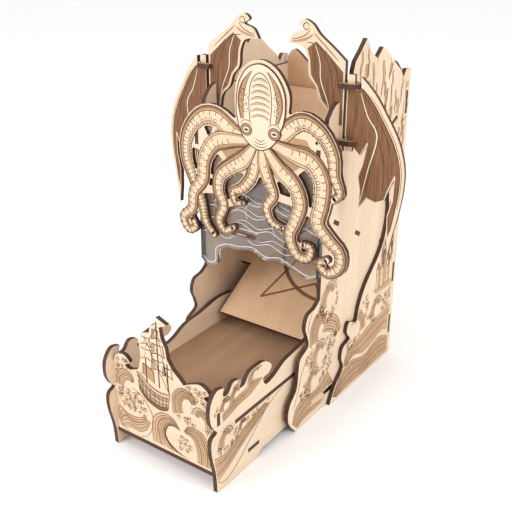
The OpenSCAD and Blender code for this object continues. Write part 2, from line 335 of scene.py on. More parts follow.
PROBE_START = 0.5  # mm above a sheet, from where a point is tested for sheet under it
PROBE_REACH = 0.8  # mm that the test looks down
MARK_BASE = 0.01  # mm from a sheet to the underside of its marks
MARK_RISE = 0.03  # mm from one level of marks to the next


class Sheet:
    """One side of a CAD sheet. A drawing's (u, v) millimetres become places just above that side."""

    def __init__(self, node, origin, u_axis, v_axis, normal):
        obj = frame["nodes"][node]
        mesh = obj.data
        self.body = obj["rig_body"]
        self.origin, self.u, self.v, self.n = (Vector(x) for x in (origin, u_axis, v_axis, normal))
        self.tree = BVHTree.FromPolygons([v.co for v in mesh.vertices], [p.vertices for p in mesh.polygons])

    def place(self, p, lift):
        """A drawn point as a place in the scene, lifted off the sheet by that many millimetres."""
        return self.origin + self.u * (p[0] * MM) + self.v * (p[1] * MM) + self.n * (lift * MM)

    def on_face(self, p, margin=0.35):
        """Is there sheet under this point, and a little way round it?"""
        for du, dv in ((0, 0), (margin, 0), (-margin, 0), (0, margin), (0, -margin)):
            start = self.place((p[0] + du, p[1] + dv), PROBE_START)
            if self.tree.ray_cast(start, -self.n, PROBE_REACH * MM)[0] is None:
                return False
        return True


def front_sheet(node):
    """Front of a sheet that faces the player, drawn as width and height."""
    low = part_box(node)[0]
    return Sheet(node, (0, low.y, 0), (1, 0, 0), (0, 0, 1), (0, -1, 0))


def side_sheet(node):
    """Outer side of a left or right sheet, drawn as depth from the front and height."""
    low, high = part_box(node)
    face, outward = (low.x, -1) if node.endswith("left") else (high.x, 1)
    return Sheet(node, (face, FRONT * MM, 0), (0, 1, 0), (0, 0, 1), (outward, 0, 0))


def ramp_sheet():
    """Top of the exit ramp, drawn as width and distance up the slope."""
    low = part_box("exit_ramp")[0]
    c, s = math.cos(RAMP_SLOPE), math.sin(RAMP_SLOPE)
    return Sheet("exit_ramp", (0, low.y, low.z + PLY * c * MM), (1, 0, 0), (0, c, s), (0, -s, c))


def wing_sheet(side):
    """Front of a swinging wing, drawn as distance from its hinge axis and height."""
    joint = next(j for j in frame["joints"] if j["name"] == side + "_wing_swing")
    sign = -1 if side == "left" else 1
    c, s = math.cos(WING_SWEEP), math.sin(WING_SWEEP)
    n = Vector((sign * s, -c, 0))
    origin = Vector((*joint["pos_m"][:2], 0)) + n * (PLY / 2 * MM)
    return Sheet("outer_wing_" + side, origin, (sign * c, s, 0), (0, 0, 1), n)


def add_object(name, data):
    obj = bpy.data.objects.new(name, data)
    bpy.context.scene.collection.objects.link(obj)
    return obj


def mesh_object(name, bm, material):
    mesh = bpy.data.meshes.new(name)
    bm.to_mesh(mesh)
    bm.free()
    mesh.materials.append(material)
    return add_object(name, mesh)


def prism(bm, outline, sheet, low, high):
    """Closed slab over a flat outline, between two heights above the sheet."""
    bottom = [bm.verts.new(sheet.place(p, low)) for p in outline]
    top = [bm.verts.new(sheet.place(p, high)) for p in outline]
    n = len(outline)
    for a, b, c in tessellate_polygon([[Vector((p[0], p[1], 0)) for p in outline]]):
        bm.faces.new((top[a], top[b], top[c]))
        bm.faces.new((bottom[c], bottom[b], bottom[a]))
    for i in range(n):
        j = (i + 1) % n
        bm.faces.new((bottom[i], bottom[j], top[j], top[i]))


def ribbon_outline(points, width, taper):
    """Both edges of a line, thinned toward its ends when it tapers."""
    left, right = [], []
    last = len(points) - 1
    for i, p in enumerate(points):
        a, b = points[max(i - 1, 0)], points[min(i + 1, last)]
        dx, dy = b[0] - a[0], b[1] - a[1]
        size = math.hypot(dx, dy) or 1.0
        w = width / 2
        if taper:
            w *= 0.3 + 0.7 * math.sin(math.pi * (0.06 + 0.88 * i / last))
        left.append((p[0] - dy / size * w, p[1] + dx / size * w))
        right.append((p[0] + dy / size * w, p[1] - dx / size * w))
    return left, right


class Layer:
    """All marks of one tone on one sheet, gathered into one object of closed shells."""

    def __init__(self, sheet, material, level, slot="engraved_plywood", clip=True):
        self.sheet = sheet
        self.material = material
        self.slot = slot
        self.clip = clip
        self.low = MARK_BASE
        self.high = MARK_RISE + MARK_RISE * level
        self.bm = bmesh.new()

    def lies(self, p):
        """May a mark pass over this point?"""
        return not self.clip or self.sheet.on_face(p)

    def shell(self, left, right):
        """Closed strip between two edges with the same number of points."""
        put = self.sheet.place
        rows = [[self.bm.verts.new(put(a, self.low)), self.bm.verts.new(put(b, self.low)),
                 self.bm.verts.new(put(b, self.high)), self.bm.verts.new(put(a, self.high))]
                for a, b in zip(left, right)]
        for one, two in zip(rows, rows[1:]):
            for k in range(4):
                m = (k + 1) % 4
                self.bm.faces.new((one[k], one[m], two[m], two[k]))
        self.bm.faces.new(rows[0])
        self.bm.faces.new(rows[-1][::-1])

    def runs(self, rows):
        """The unbroken stretches of rows whose points all lie on the sheet."""
        run = []
        for row in rows:
            if all(self.lies(p) for p in row):
                run.append(row)
                continue
            if len(run) > 1:
                yield run
            run = []
        if len(run) > 1:
            yield run

    def line(self, points, width=0.55, taper=True):
        """A line of that width, broken where the sheet ends under it."""
        for run in self.runs([(p,) for p in points]):
            self.shell(*ribbon_outline([row[0] for row in run], width, taper))

    def lines(self, many, width=0.55, taper=True):
        for points in many:
            self.line(points, width, taper)

    def band(self, one, two, start=0.0, end=1.0):
        """A strip that fills the space between two curves, from one share of the way across to another."""
        rows = list(zip(between(one, two, start), between(one, two, end)))
        for run in self.runs(rows):
            self.shell([row[0] for row in run], [row[1] for row in run])

    def patch(self, outline):
        """A filled shape, which the drawing keeps inside the sheet."""
        prism(self.bm, outline, self.sheet, self.low, self.high)
        return self

    def dots(self, centres, radius):
        """Spots of uneven size, left out close to the sheet's edge."""
        for i, (x, y) in enumerate(centres):
            if self.sheet.on_face((x, y), radius + 0.2):
                self.spot(x, y, radius * (0.7 + 0.06 * ((i * 37) % 10)))

    def spot(self, x, y, radius):
        """One filled spot, with six corners."""
        self.patch(arc(x, y, radius, radius, 0, 300, 5))

    def finish(self, name):
        """Makes the layer's object, which rides on its sheet's body."""
        bmesh.ops.recalc_face_normals(self.bm, faces=self.bm.faces)
        obj = mesh_object(name, self.bm, self.material)
        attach(obj, self.sheet.body)


def finish_all(layers, name, parts):
    """Finishes several layers of one drawing, each under its part's name."""
    for layer, part in zip(layers, parts):
        layer.finish(f"{name}_{part}")


# -------- curves

def smooth(points, steps):
    """Catmull-Rom run through given points."""
    out = []
    last = len(points) - 1
    for i in range(last):
        a, b, c, d = (points[min(max(i + k, 0), last)] for k in (-1, 0, 1, 2))
        for s in range(steps):
            t = s / steps
            out.append(tuple(
                0.5 * (2 * b[k] + (c[k] - a[k]) * t + (2 * a[k] - 5 * b[k] + 4 * c[k] - d[k]) * t * t
                       + (3 * b[k] - a[k] - 3 * c[k] + d[k]) * t ** 3) for k in (0, 1)))
    out.append(tuple(points[-1]))
    return out


def arc(x, y, rx, ry, start, end, steps):
    """Points round an ellipse, between two angles in degrees."""
    angles = (math.radians(start + (end - start) * i / steps) for i in range(steps + 1))
    return [(x + rx * math.cos(a), y + ry * math.sin(a)) for a in angles]


def spiral(x, y, radius, start, turns, steps):
    """A curl winding inward from its radius; negative turns wind clockwise."""
    out = []
    for i in range(steps + 1):
        t = i / steps
        a = math.radians(start + 360 * turns * t)
        r = radius * (1 - 0.82 * t)
        out.append((x + r * math.cos(a), y + r * math.sin(a)))
    return out


def between(one, two, t):
    """The curve a share t of the way from one curve to another of the same length."""
    return [(a[0] + (b[0] - a[0]) * t, a[1] + (b[1] - a[1]) * t) for a, b in zip(one, two)]


def inside(region, x, y):
    """Is the point inside this outline?"""
    hit = False
    for (x0, y0), (x1, y1) in zip(region, region[1:] + region[:1]):
        if (y0 > y) != (y1 > y) and x < x0 + (y - y0) / (y1 - y0) * (x1 - x0):
            hit = not hit
    return hit


def spread(region, spacing, seed):
    """Evenly spread places inside an outline, each a little out of line."""
    rng = random.Random(seed)
    xs, ys = [p[0] for p in region], [p[1] for p in region]
    rows = int((max(ys) - min(ys)) / (spacing * 0.87)) + 1
    columns = int((max(xs) - min(xs)) / spacing) + 1
    out = []
    for j in range(rows):
        for i in range(columns):
            x = min(xs) + (i + 0.5 * (j % 2)) * spacing + rng.uniform(-0.3, 0.3) * spacing
            y = min(ys) + j * spacing * 0.87 + rng.uniform(-0.3, 0.3) * spacing
            if inside(region, x, y):
                out.append((x, y))
    return out


def scroll(x, y, size, angle, turn):
    """A comma of foam: a tight curl with a tail."""
    curl = spiral(x, y, size, angle, 0.9 * turn, 9)
    a = math.radians(angle)
    tail = (x + 1.5 * size * math.cos(a - 0.7 * turn), y + 1.5 * size * math.sin(a - 0.7 * turn))
    return [tail, *curl]


DROP = 0.22  # radius of a drop of spray, mm


class Sea:
    """Engraved water on one sheet: tinted ground, banded currents, breakers and curls of foam."""

    def __init__(self, sheet, name, seed):
        self.name = name
        self.rng = random.Random(seed)
        self.breakers = []
        self.tint = Layer(sheet, TINT, 0)
        self.wash = Layer(sheet, WATER, 1)
        self.shade = Layer(sheet, DEPTH, 2)
        self.ink = Layer(sheet, FINE, 3)

    def near_breaker(self, x, y):
        return any(math.hypot(x - bx, y - by) < reach for bx, by, reach in self.breakers)

    def foam(self, region, spacing=3.9):
        """A bank of curls with dots between them, inside an outline and clear of the breakers so far."""
        for k, (x, y) in enumerate(spread(region, spacing, self.rng.random())):
            if self.near_breaker(x, y):
                continue
            size = spacing * self.rng.uniform(0.3, 0.46)
            angle = self.rng.uniform(0, 360)
            self.tint.line(arc(x, y, size * 0.7, size * 0.7, angle, angle + 300, 7), size, False)
            self.ink.line(scroll(x, y, size, angle, self.rng.choice((-1, 1))), 0.45)
            if k % 2:
                self.wash.line(arc(x, y, size * 1.1, size * 1.1, angle + 150, angle + 280, 6), 0.8)
            drops = [(x + spacing * 0.5, y + spacing * 0.4), (x - spacing * 0.1, y - spacing * 0.55)]
            self.ink.dots(drops, DROP)

    def current(self, one, two, count, steps=8, ink=0.4):
        """Stripes of water between two guide curves, outlined and shaded by turns."""
        a, b = smooth(one, steps), smooth(two, steps)
        self.tint.band(a, b)
        for k in range(count):
            low = (k + 0.15) / count
            if k % 3 == 2:
                self.shade.band(a, b, low, low + 0.34 / count)
            else:
                self.wash.band(a, b, low, low + (0.62 if k % 3 else 0.4) / count)
            self.ink.line(between(a, b, k / count), ink)
        self.ink.line(b, ink)

    def breaker(self, x, y, size, turn=1):
        """A wave breaking over itself: a striped back, claws of foam on its crest and drops past them."""
        def flip(points):
            return [(x + turn * px * size, y + py * size) for px, py in points]
        self.breakers.append((x, y, 1.45 * size))
        back = flip([(-1.5, -1.25), (-1.35, -0.2), (-0.8, 0.6), (0.05, 0.85), (0.62, 0.5), (0.7, 0.02)])
        belly = flip([(-0.35, -1.3), (-0.5, -0.6), (-0.3, -0.05), (0.05, 0.2), (0.3, 0.15), (0.35, -0.08)])
        self.current(back, belly, 4, 5, 0.3)
        for k in range(7):
            a = 0.05 + 0.36 * k
            px, py = 0.1 + 0.98 * math.cos(a), 0.1 + 0.95 * math.sin(a)
            self.ink.line(flip(scroll(px, py, 0.2, math.degrees(a) + 160, -1)), 0.42)
        drops = [(0.1 + 1.3 * math.cos(0.3 * k), 0.2 + 1.22 * math.sin(0.3 * k)) for k in range(9)]
        self.ink.dots(flip(drops), DROP)

    def finish(self):
        layers = (self.tint, self.wash, self.shade, self.ink)
        finish_all(layers, self.name, ("ground", "water", "depth", "lines"))


# -------- the octopus

# Eight arms as (path, root radius, tip radius, side the suckers are on), in the order that they overlap.
# Each path starts under the head and then follows the arm cut in the plate.
ARMS = [
    ([(-3, 189), (-16, 190), (-30, 198), (-43, 196), (-54, 183), (-56, 167), (-50, 151), (-44, 137),
      (-41, 124), (-34, 116)], 7.6, 2.6, 1),
    ([(11, 189), (20, 194), (34, 204), (47, 200), (56, 188), (58, 175), (62, 165), (58, 160)], 6.8, 2.6, -1),
    ([(-2, 186), (-20, 184), (-32, 180), (-40, 168), (-42, 154), (-50, 143), (-52, 131), (-60, 123),
      (-56, 115), (-50, 118), (-53, 124)], 7, 2.4, -1),
    ([(3, 184), (0, 172), (-3, 162), (-10, 154), (-17, 150), (-15, 143), (-9, 144)], 5.6, 2, 1),
    ([(12, 188), (28, 184), (42, 181), (50, 170), (50, 156), (48, 143), (56, 134), (64, 127), (64, 117),
      (56, 111), (50, 116), (55, 120)], 7.6, 2.6, -1),
    ([(6, 184), (8, 172), (12, 162), (15, 154), (10, 145), (14, 136), (22, 134)], 5.6, 2.2, -1),
    ([(0, 184), (-8, 174), (-17, 168), (-27, 160), (-29, 149), (-25, 139), (-29, 128), (-24, 121),
      (-17, 125)], 7, 2.4, 1),
    ([(9, 184), (20, 172), (30, 164), (35, 153), (32, 141), (28, 130), (33, 119), (41, 118), (43, 125),
      (37, 126)], 7, 2.4, -1),
]
DOME = [(-11.5, 195), (-13.5, 204), (-13, 214), (-11, 223), (-4.5, 232), (6, 235), (16, 230), (22.5, 220),
        (23.5, 209), (22, 200), (19.5, 195)]
CHIN = [(19.5, 195), (17, 189), (12, 184), (4.5, 181.5), (-3, 184), (-8.5, 189), (-11.5, 195)]
WEB = [(-31, 189), (-31, 182), (-21, 171), (-8, 167), (4, 169), (19, 167), (32, 174), (43, 186), (38, 193.5),
       (22, 194), (5, 200), (-14, 194), (-26, 191)]
ARM_RISE = 3  # levels from one arm to the next one over it
THIN_ARM = 1.2  # mm: an arm carries no rings or suckers where its radius is less
EYE_Z = 193.6


def arm_samples(path, root, tip):
    """Centre, direction and radius all along an arm, which swells as it leaves the head."""
    p = smooth(path, 6)
    last = len(p) - 1
    out = []
    for i, c in enumerate(p):
        a, b = p[max(i - 1, 0)], p[min(i + 1, last)]
        size = math.hypot(b[0] - a[0], b[1] - a[1])
        direction = ((b[0] - a[0]) / size, (b[1] - a[1]) / size)
        swell = min(1, 0.4 + 4.5 * i / last)
        out.append((c, direction, (root + (tip - root) * i / last) * swell))
    return out


def along(samples, share, margin=0.0):
    """The line a share of the radius to the left of an arm's centre."""
    return [(c[0] - d[1] * max(r - margin, 0.3) * share, c[1] + d[0] * max(r - margin, 0.3) * share)
            for c, d, r in samples]


def arm_slab(layer, samples, margin):
    """The whole arm, drawn in by a margin, with a round tip."""
    layer.shell(along(samples, 1, margin), along(samples, -1, margin))
    (x, y), _, r = samples[-1]
    layer.patch(arc(x, y, r - margin, r - margin, 0, 330, 11))


def rings_and_suckers(ink, samples, side):
    """Short rings across an arm, and from the fourth on a sucker and a notch in its edge beside each."""
    rest, travel, count = 2.0, 0.0, 0
    for (c0, _, _), (c, d, r) in zip(samples[5:], samples[6:]):
        travel += math.hypot(c[0] - c0[0], c[1] - c0[1])
        if travel < rest or r < THIN_ARM:
            continue
        travel, rest, count = 0.0, 1.1 + r * 0.28, count + 1
        u, v = -d[1] * side, d[0] * side
        reach = (-0.42, -0.1, 0.16) if count % 2 else (-0.42, -0.22, -0.04)
        ring = [(c[0] + u * r * t + d[0] * r * 0.5 * (0.18 - (t + 0.1) ** 2),
                 c[1] + v * r * t + d[1] * r * 0.5 * (0.18 - (t + 0.1) ** 2)) for t in reach]
        ink.shell(*ribbon_outline(ring, 0.42, False))
        if count > 3:
            sucker = arc(c[0] + u * r * 0.5, c[1] + v * r * 0.5, r * 0.19, r * 0.19, 0, 340, 7)
            ink.shell(*ribbon_outline(sucker, 0.36, False))
            ink.spot(c[0] + u * (r - 0.2), c[1] + v * (r - 0.2), 0.55)


def draw_arm(sheet, index, path, root, tip, side):
    """One arm over those before it: dark outline, bare wood, shaded underside, rings and suckers."""
    samples = arm_samples(path, root, tip)
    level = 2 + ARM_RISE * index
    tones = ((INK, 0), (HIDE, 1), (WASH, 2), (SHADE, 3), (INK, 3))
    layers = [Layer(sheet, tone, level + rise, clip=False) for tone, rise in tones]
    outline, skin, wash, shade, ink = layers
    arm_slab(outline, samples, 0.1)
    arm_slab(skin, samples, 0.65)
    body = samples[1:]
    wash.shell(along(body, -0.86 * side), along(body, -0.42 * side))
    wash.shell(along(body, 0.8 * side), along(body, 0.62 * side))
    shade.shell(along(body, -0.88 * side), along(body, -0.7 * side))
    ink.shell(*ribbon_outline(along(body, -0.42 * side), 0.4, True))
    rings_and_suckers(ink, samples, side)
    finish_all(layers, f"arm_{index}", ("outline", "skin", "wash", "shade", "marks"))


def draw_mantle(wash, shade, ink):
    """Shaded rims down both sides of the mantle, and ridges inside its bell."""
    for sign, rim in ((1, [(18.6, 200), (21.8, 211), (18.8, 222), (11, 230.5)]),
                      (-1, [(-9.8, 200), (-12, 211), (-9.2, 222), (-2, 230)])):
        inner = [(x - sign * w, y) for (x, y), w in zip(rim, (2.4, 4.4, 4.0, 1.0))]
        wash.band(smooth(rim, 6), smooth(inner, 6))
        shade.band(smooth(rim, 6), smooth(inner, 6), 0.0, 0.3)
        ink.line(smooth(inner, 6), 0.4)
    bell = [(-2.6, 199), (-3.4, 212), (-1.5, 224), (5, 229.5), (11.5, 224), (13.4, 212), (12.4, 199)]
    ink.line(smooth(bell, 6), 0.5, False)
    for k in range(7):
        y, half = 202 + 3.7 * k, 7.5 - 0.14 * (k - 2) ** 2
        row = [(5 - half, y), (5 - half * 0.4, y + 1.9), (5 + half * 0.4, y + 1.9), (5 + half, y)]
        ink.line(smooth(row, 4), 0.42)
        wash.line([(x, y - 0.9) for x, y in smooth(row, 4)], 0.7)


def draw_eye(sheet, level, wash, ink, name, x, tilt):
    """A round eye in a shaded socket, with a level pupil and a line over it."""
    wash.patch(arc(x, EYE_Z, 4.3, 3.7, 0, 340, 17))
    ink.line(arc(x, EYE_Z, 4.3, 3.7, 0, 360, 18), 0.5, False)
    eye = Layer(sheet, BONE, level + 4, clip=False)
    eye.patch(arc(x, EYE_Z, 2.9, 2.2, 0, 340, 17)).finish("eye_" + name)
    pupil = Layer(sheet, INK, level + 5, clip=False)
    pupil.patch([(x - 2.2, 193.4), (x, 194.5), (x + 2.2, 193.4), (x, 192.7)])
    pupil.line(arc(x, EYE_Z, 2.9, 2.2, 0, 360, 18), 0.5, False)
    pupil.finish("pupil_" + name)
    ink.line(arc(x, 194.2, 5.2, 5.4, 90 + 60 * tilt, 90 - 60 * tilt, 8), 0.42)


def draw_head(sheet, level):
    """Domed mantle over the arms' roots, with ridges, freckles and two level-pupilled eyes."""
    dome = [*smooth(DOME, 6), *smooth(CHIN, 5)[1:-1]]
    Layer(sheet, INK, level, clip=False).patch(dome).finish("head_outline")
    skin = Layer(sheet, BONE, level + 1, clip=False)
    skin.patch([(5 + (x - 5) * 0.962, 208 + (y - 208) * 0.974) for x, y in dome]).finish("head_skin")
    tones = ((WASH, 2), (SHADE, 3), (INK, 3))
    layers = [Layer(sheet, tone, level + rise, clip=False) for tone, rise in tones]
    wash, shade, ink = layers
    draw_mantle(wash, shade, ink)
    for hand, x, tilt in (("left", -5.5, 1), ("right", 15.5, -1)):
        draw_eye(sheet, level, wash, ink, hand, x, tilt)
    freckled = (([(-10, 203), (-11, 214), (-8, 222), (-4.6, 216), (-4, 204)], 3),
                ([(14, 204), (15, 216), (17, 222), (20, 212), (18, 203)], 4))
    for region, seed in freckled:
        for x, y in spread(region, 2.1, seed):
            ink.spot(x, y, 0.42)
    for k in range(3):
        y = 187.6 - 1.9 * k
        ink.line(smooth([(1.6 - k, y + 1.4), (5, y), (8.4 + k, y + 1.4)], 4), 0.4)
    finish_all(layers, "head", ("wash", "shade", "marks"))


def draw_octopus():
    """Dark web with folds, the eight arms over it, and the head over them."""
    sheet = front_sheet("octopus_facade")
    ground, folds = Layer(sheet, WASH, 0, clip=False), Layer(sheet, SHADE, 1, clip=False)
    ground.patch(WEB).finish("web_ground")
    for k in range(9):
        a = math.radians(200 + 17.5 * k)
        folds.line([(4 + r * math.cos(a), 192 + r * 0.8 * math.sin(a)) for r in (12, 17, 22, 27)], 0.9)
    folds.finish("web_folds")
    for index, (path, root, tip, side) in enumerate(ARMS):
        draw_arm(sheet, index, path, root, tip, side)
    draw_head(sheet, 2 + ARM_RISE * len(ARMS) + 1)


# -------- tray, walls and cliffs

def draw_hull(ink, wash, shade):
    """Planked hull between rail and keel, with a raised stern."""
    rail = smooth([(-20, 66), (-12, 58), (-2, 54), (7, 55)], 6)
    keel = smooth([(-18, 50), (-12, 44), (-2, 41), (5, 43)], 6)
    for k in range(5):
        wash.band(rail, keel, k / 5 + 0.04, k / 5 + (0.16 if k % 2 else 0.1))
        ink.line(between(rail, keel, k / 5), 0.45)
    shade.band(rail, keel, 0.8, 1.0)
    ink.lines([keel, [rail[0], keel[0]], [rail[-1], keel[-1]]], 0.6)
    upper, lower = between(rail, keel, 0.2), between(rail, keel, 0.8)
    ink.lines([[upper[i], lower[i]] for i in range(2, 18, 2)], 0.35, False)
    stern = [(-14, 62), (-13.5, 70), (-5, 67), (-5, 58.5)]
    wash.patch(stern)
    ink.lines(zip(stern, stern[1:]), 0.5, False)


def draw_rigging(ink, wash):
    """Three masts, six square sails and their stays."""
    for x, top in ((-11, 92), (-1, 102), (6, 76)):
        ink.line([(x, 57), (x, (56 + top) / 2), (x, top)], 0.8, False)
    sails = ((-10.5, 86, 4.4, 6), (-10.5, 77, 5.2, 8), (-1, 93, 4.2, 7), (-1, 83, 5.4, 8), (-1, 72, 6.0, 8),
             (6, 70, 4.0, 7))
    for x, y, w, h in sails:
        top = smooth([(x - w * 0.8, y + h / 2), (x, y + h / 2 - 0.7), (x + w * 0.8, y + h / 2)], 4)
        foot = smooth([(x - w, y - h / 2), (x, y - h / 2 + 1.6), (x + w, y - h / 2)], 4)
        wash.band([top[0], foot[0]], [top[3], foot[3]], 0.1, 0.8)
        wash.band([top[-2], foot[-2]], [top[-1], foot[-1]], 0.0, 0.8)
        ink.lines([top, foot, [top[0], foot[0]], [top[-1], foot[-1]]], 0.5)
        ink.line([between(top, foot, 0.25)[4], between(top, foot, 0.9)[3]], 0.35)
    for x, top in ((-11, 92), (-1, 102)):
        for end in ((-20, 66), (7, 55)):
            ink.line([(x, top - 3), ((x + end[0]) / 2, (top + end[1]) / 2 - 2), end], 0.28, False)


def draw_front_sea(sheet):
    """Breaking waves and foam round the ship."""
    sea = Sea(sheet, "tray_front", seed=11)
    sea.breaker(31, 48, 6.2, -1)
    sea.foam([(-38, 60), (-36, 67), (-30, 69), (-25, 65), (-22, 60), (-27, 60), (-33, 58), (-38, 52)])
    sea.foam([(-37, 46), (-30, 46), (-22, 50), (-16, 40), (-12, 31), (-22, 28), (-30, 31), (-37, 35)])
    sea.foam([(17, 66), (24, 67.5), (31, 69), (36.5, 66), (38, 54), (38, 36), (33, 38), (27, 46), (29, 58),
              (22, 63)])
    sea.foam([(8, 42), (14, 46), (26, 45), (28, 40), (18, 40)])
    sea.foam([(11, 30), (17, 29), (22, 24), (24, 17), (14, 19), (9, 24)])
    sea.current([(-38, 20), (-37, 30), (-30, 27), (-22, 27), (-15, 30)],
                [(-36, 15), (-27, 17), (-20, 17), (-14, 21), (-10, 28)], 5)
    sea.current([(-9, 15), (-8, 32), (0, 39.5), (9, 38.5), (14, 32)],
                [(20, 13.5), (8, 16), (2, 23), (4, 31), (9, 33.5)], 9)
    sea.current([(38, 14), (37.5, 27), (31, 37.5), (21, 38), (17, 33)],
                [(27, 14), (27, 22), (25, 29), (21, 32), (19, 31.5)], 7)
    sea.current([(9, 43), (9, 56), (16, 63.5), (25, 62), (27, 56)],
                [(17, 46), (16, 52), (18, 56.5), (21.5, 57.5), (24, 55)], 7)
    sea.current([(-38, 47), (-37, 54), (-31, 59.5), (-24, 58), (-22, 53)],
                [(-32, 46), (-31, 49), (-29, 52), (-26, 53), (-24.5, 51.5)], 5)
    sea.ink.line(smooth([(-38, 17), (-26, 12.5), (-13, 17), (-8, 32), (-15, 44), (-24, 48)], 7), 0.4)
    sea.ink.line(smooth([(-38, 11), (-20, 10.5), (0, 11), (20, 10.5), (38, 11)], 5), 0.4)
    sea.finish()


def draw_tray_front():
    """A sailing ship between breaking waves."""
    sheet = front_sheet("tray_front_panel")
    ink, wash, shade = Layer(sheet, INK, 3), Layer(sheet, WASH, 1), Layer(sheet, SHADE, 2)
    draw_hull(ink, wash, shade)
    draw_rigging(ink, wash)
    finish_all((wash, shade, ink), "ship", ("planks", "depth", "lines"))
    draw_front_sea(sheet)


def draw_tray_side(side):
    """Surf along the top of a tray side, and rolling water below its slot."""
    sea = Sea(side_sheet("tray_side_" + side), "tray_" + side, seed=23)
    for x, y, size in ((25, 61, 4.4), (14.5, 59, 3.6), (44, 65, 5.2), (15, 36, 5.4), (31, 35.2, 3.0)):
        sea.breaker(x, y, size)
    sea.foam([(4, 56), (8, 62), (14, 66), (20, 62), (26, 70), (33, 72), (36, 66), (34, 60), (22, 57),
              (12, 54)], 3.0)
    sea.foam([(38, 60), (44, 68), (49, 80), (54, 82), (56, 74), (50, 64), (44, 58)], 3.0)
    sea.current([(11, 52.5), (17, 54.5), (25, 57), (34, 58), (44, 60)],
                [(12, 47.5), (19, 49), (28, 51), (39, 52), (52, 57)], 5)
    sea.foam([(4, 28), (12, 36), (21, 38), (38, 38), (54, 38.4), (62, 38.4), (52, 36), (40, 34), (26, 30),
              (14, 24)], 3.3)
    sea.current([(3, 26), (13, 24), (25, 29), (38, 33), (54, 37)],
                [(6, 8), (16, 12), (30, 20), (46, 27), (60, 34)], 7)
    sea.ink.line(smooth([(3, 12), (10, 4.5), (22, 7), (40, 20), (58, 33), (76, 39)], 8), 0.45)
    sea.finish()


def draw_wall(side):
    """Rolling sea on the wall's lower lobes: breakers, banks of foam and currents."""
    sea = Sea(side_sheet("wall_" + side), "wall_" + side, seed=41)
    for x, y, size in ((120, 88, 7.6), (110, 49, 7.4), (103, 32, 6.4)):
        sea.breaker(x, y, size)
    sea.foam([(104, 76), (110, 86), (118, 92), (126, 104), (130, 98), (132, 84), (130, 72), (120, 66),
              (112, 72)])
    sea.foam([(92, 50), (100, 55), (112, 54), (124, 58), (132, 52), (130, 42), (116, 38), (100, 40),
              (92, 44)])
    sea.foam([(86, 26), (94, 34), (106, 38), (118, 36), (128, 40), (126, 30), (112, 24), (98, 20), (88, 20)])
    sea.current([(98, 58), (97, 68), (102, 77), (111, 79), (117, 72)],
                [(108, 57), (107, 63), (109, 68), (112, 69), (115, 66)], 7)
    sea.current([(118, 70), (126, 70), (133, 64), (138, 54)],
                [(112, 62), (118, 60), (126, 56), (131, 50)], 6)
    sea.current([(78, 8), (82, 18), (92, 22), (106, 20), (122, 27)],
                [(84, 2), (94, 5), (106, 5), (116, 6), (130, 14)], 10)
    sea.ink.line(smooth([(100, 84), (95, 74), (95, 62), (101, 55)], 7), 0.45)
    sea.ink.line(smooth([(94, 50), (88, 42), (84, 30), (79, 20)], 7), 0.45)
    sea.finish()


def crack(x, y, length, seed, lean):
    """A jagged line running down a rock face."""
    rng = random.Random(seed)
    points, at = [(x, y)], y
    while at > y - length:
        at -= rng.uniform(2.0, 4.5)
        points.append((x + (y - at) * lean + rng.uniform(-1.1, 1.1), at))
    return points


def drip(layers, x, y, length, width, lean, seed):
    """A weathered gully in the rock between two jagged edges, every third one darker on one side."""
    wash, shade, ink = layers
    edge = crack(x, y, length, seed, lean)
    other = [(px + width * math.sin(math.pi * (0.3 + 0.7 * i / (len(edge) - 1))) + 0.05, py)
             for i, (px, py) in enumerate(edge)]
    wash.band(edge, other)
    if seed % 3 == 0:
        shade.band(edge, other, 0.5, 0.9)
    ink.line(edge, 0.45)
    ink.line(other, 0.35)


def draw_keep(layers, base):
    """A small keep with three pointed towers, on a ledge of the cliff."""
    wash, shade, ink = layers
    for x, w, h in ((184, 4.5, 15), (191, 7, 24), (199, 5, 18)):
        half = w / 2
        wash.band([(x, base), (x, base + h)], [(x + half, base), (x + half, base + h)])
        ink.lines([[(x + t, base), (x + t, base + h)] for t in (-half, half)], 0.5, False)
        ink.line([(x - half - 0.8, base + h), (x, base + h + 6), (x + half + 0.8, base + h)], 0.5, False)
        shade.patch([(x - half - 0.6, base + h), (x + half + 0.6, base + h), (x, base + h + 5.4)])
        ink.dots([(x - 0.8, base + h * t) for t in (0.4, 0.75)], 0.5)
    ink.line([(178, base), (190, base - 0.8), (206, base)], 0.6)
    wash.band([(179, base - 0.6), (206, base - 0.6)], [(182, base - 4), (206, base - 5)])


